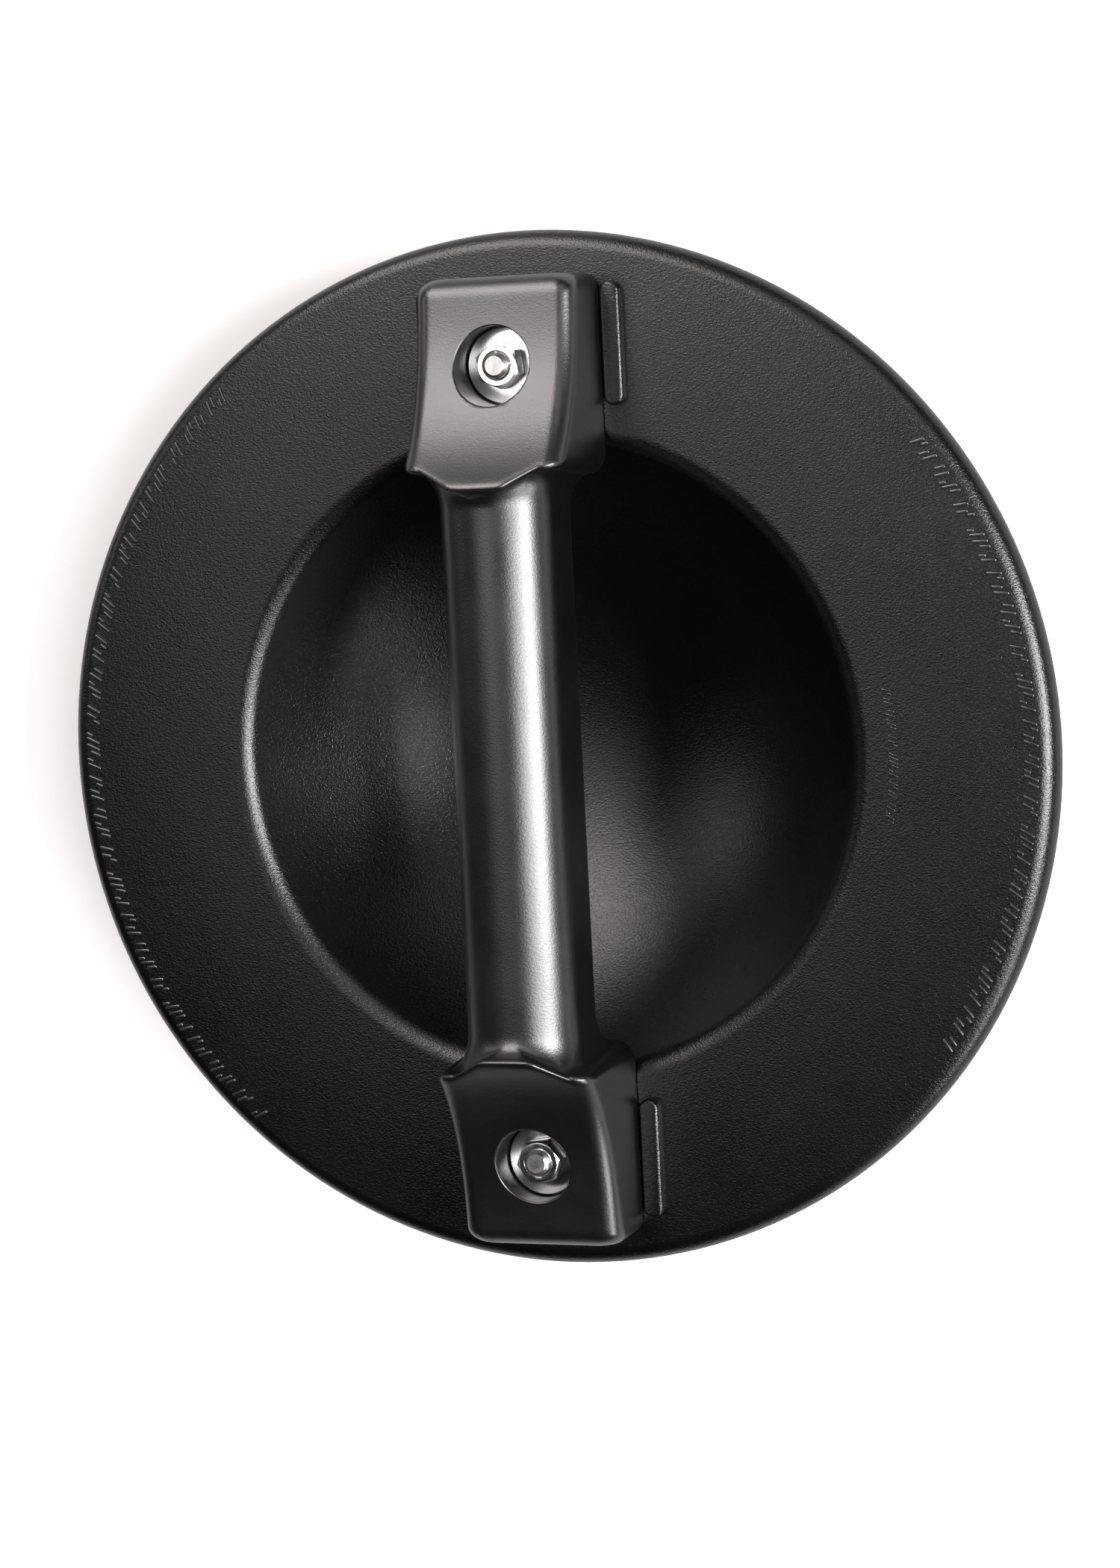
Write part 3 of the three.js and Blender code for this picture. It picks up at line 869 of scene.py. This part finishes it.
def mark_plastic():
    """The raised marks: the same plastic, glossier from the mould's polished cuts, with a painted sheen from a
    lighter colour.
    """
    material, nodes, place, shader = new_material("mark_plastic")
    shader.inputs["Specular IOR Level"].default_value = 1.0
    gloss = grouped(nodes, GLOSS, place, patch_size=12 * MM, low=0.24, high=0.32)
    # Painted sheen: the strokes' colour is lighter than the shield's own plastic, so that they look lit.
    colour = tinted(nodes, gloss.outputs["Patches"], (0.006, 0.006, 0.006, 1), (0.012, 0.011, 0.011, 1))
    link(nodes, colour, shader, "Base Color")
    link(nodes, gloss.outputs["Roughness"], shader, "Roughness")
    return material


def handle_plastic():
    """The handle's smoother plastic, with the raised parting line of its mould along its sides."""
    material, nodes, place, shader, bump = plastic(
        "handle_plastic",
        dark=(0.0010, 0.0008, 0.0008, 1),
        light=(0.0020, 0.0016, 0.0016, 1),
        specular=0.9,
        gloss_low=0.30,
        gloss_high=0.36,
        grain_size=0.8 * MM,
        grain_depth=0.065 * MM,
        stretch=1.3,
        fine_share=0.4,
    )
    axes = nodes.add("ShaderNodeSeparateXYZ", {0: place})
    away = nodes.math("ABSOLUTE", nodes.math("SUBTRACT", axes.outputs["Z"], BACK + PARTING_LEVEL))
    line = nodes.mapped(away, 0.15 * MM, 0.5 * MM, 1.0, 0.0)
    sides = nodes.mapped(nodes.math("ABSOLUTE", axes.outputs["X"]), 16 * MM, 17.5 * MM, 0.0, 1.0)
    grip = nodes.mapped(nodes.math("ABSOLUTE", axes.outputs["Y"]), 66 * MM, 76 * MM, 1.0, 0.0)
    ridge = nodes.add(
        "ShaderNodeBump",
        {
            "Strength": 0.6,
            "Distance": 0.12 * MM,
            "Height": nodes.math("MULTIPLY", line, nodes.math("MULTIPLY", sides, grip)),
            "Normal": bump.outputs[0],
        },
    )
    link(nodes, ridge.outputs[0], shader, "Normal")
    return material


# Each plated finish: its bright and dull colour, its lowest and highest roughness, its scratches' depth
ZINC_FINISHES = {
    "nut_zinc": ((0.80, 0.81, 0.82, 1), (0.62, 0.62, 0.62, 1), 0.12, 0.26, 0.01 * MM),
    "washer_zinc": ((0.82, 0.82, 0.83, 1), (0.66, 0.66, 0.66, 1), 0.10, 0.24, 0.01 * MM),
    "bolt_zinc": ((0.76, 0.76, 0.75, 1), (0.50, 0.49, 0.47, 1), 0.22, 0.42, 0.03 * MM),
}


def zinc_plate(name, bright, dull, low, high, scratch_depth):
    """Bright zinc plate with faint cloudy patches and fine scratches."""
    material, nodes, place, shader = new_material(name)
    shader.inputs["Metallic"].default_value = 1.0
    gloss = grouped(nodes, GLOSS, place, patch_size=5 * MM, low=low, high=high)
    scratches = grouped(nodes, SCRATCHES, place, scratch_spacing=0.35 * MM, run=12.0, sparseness=0.56)
    link(nodes, tinted(nodes, gloss.outputs["Patches"], bright, dull), shader, "Base Color")
    link(nodes, gloss.outputs["Roughness"], shader, "Roughness")
    bump = nodes.add(
        "ShaderNodeBump",
        {"Strength": 1.0, "Distance": scratch_depth, "Height": scratches.outputs["Scratches"]},
    )
    link(nodes, bump.outputs[0], shader, "Normal")
    return material


# Studio

def floor():
    """A plain pale floor just under the shield, less bright as a light than it looks."""
    bpy.ops.object.select_all(action="DESELECT")
    bpy.ops.mesh.primitive_plane_add(size=FLOOR_SIZE, location=(0, 0, -FLOOR_GAP))
    ground = name_new("studio_floor")
    material, nodes, place, shader = new_material("pale_floor")
    seen = nodes.add("ShaderNodeLightPath").outputs["Is Camera Ray"]
    link(nodes, tinted(nodes, seen, (0.45, 0.45, 0.45, 1), (0.92, 0.92, 0.92, 1)), shader, "Base Color")
    shader.inputs["Roughness"].default_value = 0.9
    shader.inputs["Specular IOR Level"].default_value = 0.1
    ground.data.materials.append(material)


def softbox(name, direction, width, height, radiance, tint):
    """An area lamp in this direction from the shield. The ceiling's hangs level, the others face the shield."""
    lamp = bpy.data.lights.new(name, "AREA")
    lamp.color = tint
    lamp.shape = "RECTANGLE"
    lamp.size = width
    lamp.size_y = height
    lamp.energy = radiance * math.pi * width * height
    box = bpy.data.objects.new(name, lamp)
    bpy.context.scene.collection.objects.link(box)
    box.location = LAMP_TARGET + Vector(direction).normalized() * LAMP_DISTANCE
    if name != "ceiling":
        box.rotation_euler = (LAMP_TARGET - box.location).to_track_quat("-Z", "Y").to_euler()


def surroundings():
    """Pale to the camera, dim as a light."""
    world = bpy.data.worlds.new("studio")
    world.use_nodes = True
    world.node_tree.nodes.clear()
    nodes = Nodes(world.node_tree)
    seen = nodes.add("ShaderNodeBackground", {"Color": (0.93, 0.93, 0.93, 1), "Strength": 1.0})
    glow = nodes.add("ShaderNodeBackground", {"Color": (1, 1, 1, 1), "Strength": 0.01})
    ray = nodes.add("ShaderNodeLightPath")
    blend = nodes.add(
        "ShaderNodeMixShader", {0: ray.outputs["Is Camera Ray"], 1: glow.outputs[0], 2: seen.outputs[0]}
    )
    nodes.add("ShaderNodeOutputWorld", {"Surface": blend.outputs[0]})
    bpy.context.scene.world = world


def camera():
    """A camera at the photo's place, turned to the photo's tilt."""
    lens = bpy.data.cameras.new("camera")
    lens.lens = CAMERA_LENS
    lens.sensor_width = 36
    lens.clip_start = 0.05
    view = bpy.data.objects.new("camera", lens)
    bpy.context.scene.collection.objects.link(view)
    backwards = (CAMERA_PLACE - CAMERA_TARGET).normalized()
    level_right = Vector((0, 1, 0)).cross(backwards).normalized()
    level_up = backwards.cross(level_right)
    right = level_right * math.cos(CAMERA_ROLL) + level_up * math.sin(CAMERA_ROLL)
    up = backwards.cross(right)
    turn = Matrix((right, up, backwards)).transposed()
    view.matrix_world = Matrix.Translation(CAMERA_PLACE) @ turn.to_4x4()
    bpy.context.scene.camera = view


def main():
    """The studio first, then each piece with its finish and the solid that it stands for."""
    camera()
    surroundings()
    floor()
    for name, settings in LAMPS.items():
        softbox(name, *settings)
    bpy.context.scene.view_settings.view_transform = "Standard"

    dress(shield(), shield_plastic(), "shield_plastic", "shield_body")
    dress(marks(), mark_plastic(), "shield_plastic")
    dress(handle(), handle_plastic(), "handle_plastic", "handle")

    nut_zinc, washer_zinc, bolt_zinc = (zinc_plate(name, *finish) for name, finish in ZINC_FINISHES.items())
    for where, end, corner in (("upper", 1, NUT_CORNER_UPPER), ("lower", -1, NUT_CORNER_LOWER)):
        along = HANDLE_MIDDLE + end * BOLT_OFFSET
        dress(bolt(f"carriage_bolt_{where}", along), bolt_zinc, "plated_bolt", f"bolt_{where}")
        dress(washer(f"flat_washer_{where}", along), washer_zinc, "plated_washer", f"washer_{where}")
        dress(nut(f"hexagon_nut_{where}", along, corner), nut_zinc, "plated_nut", f"nut_{where}")


main()
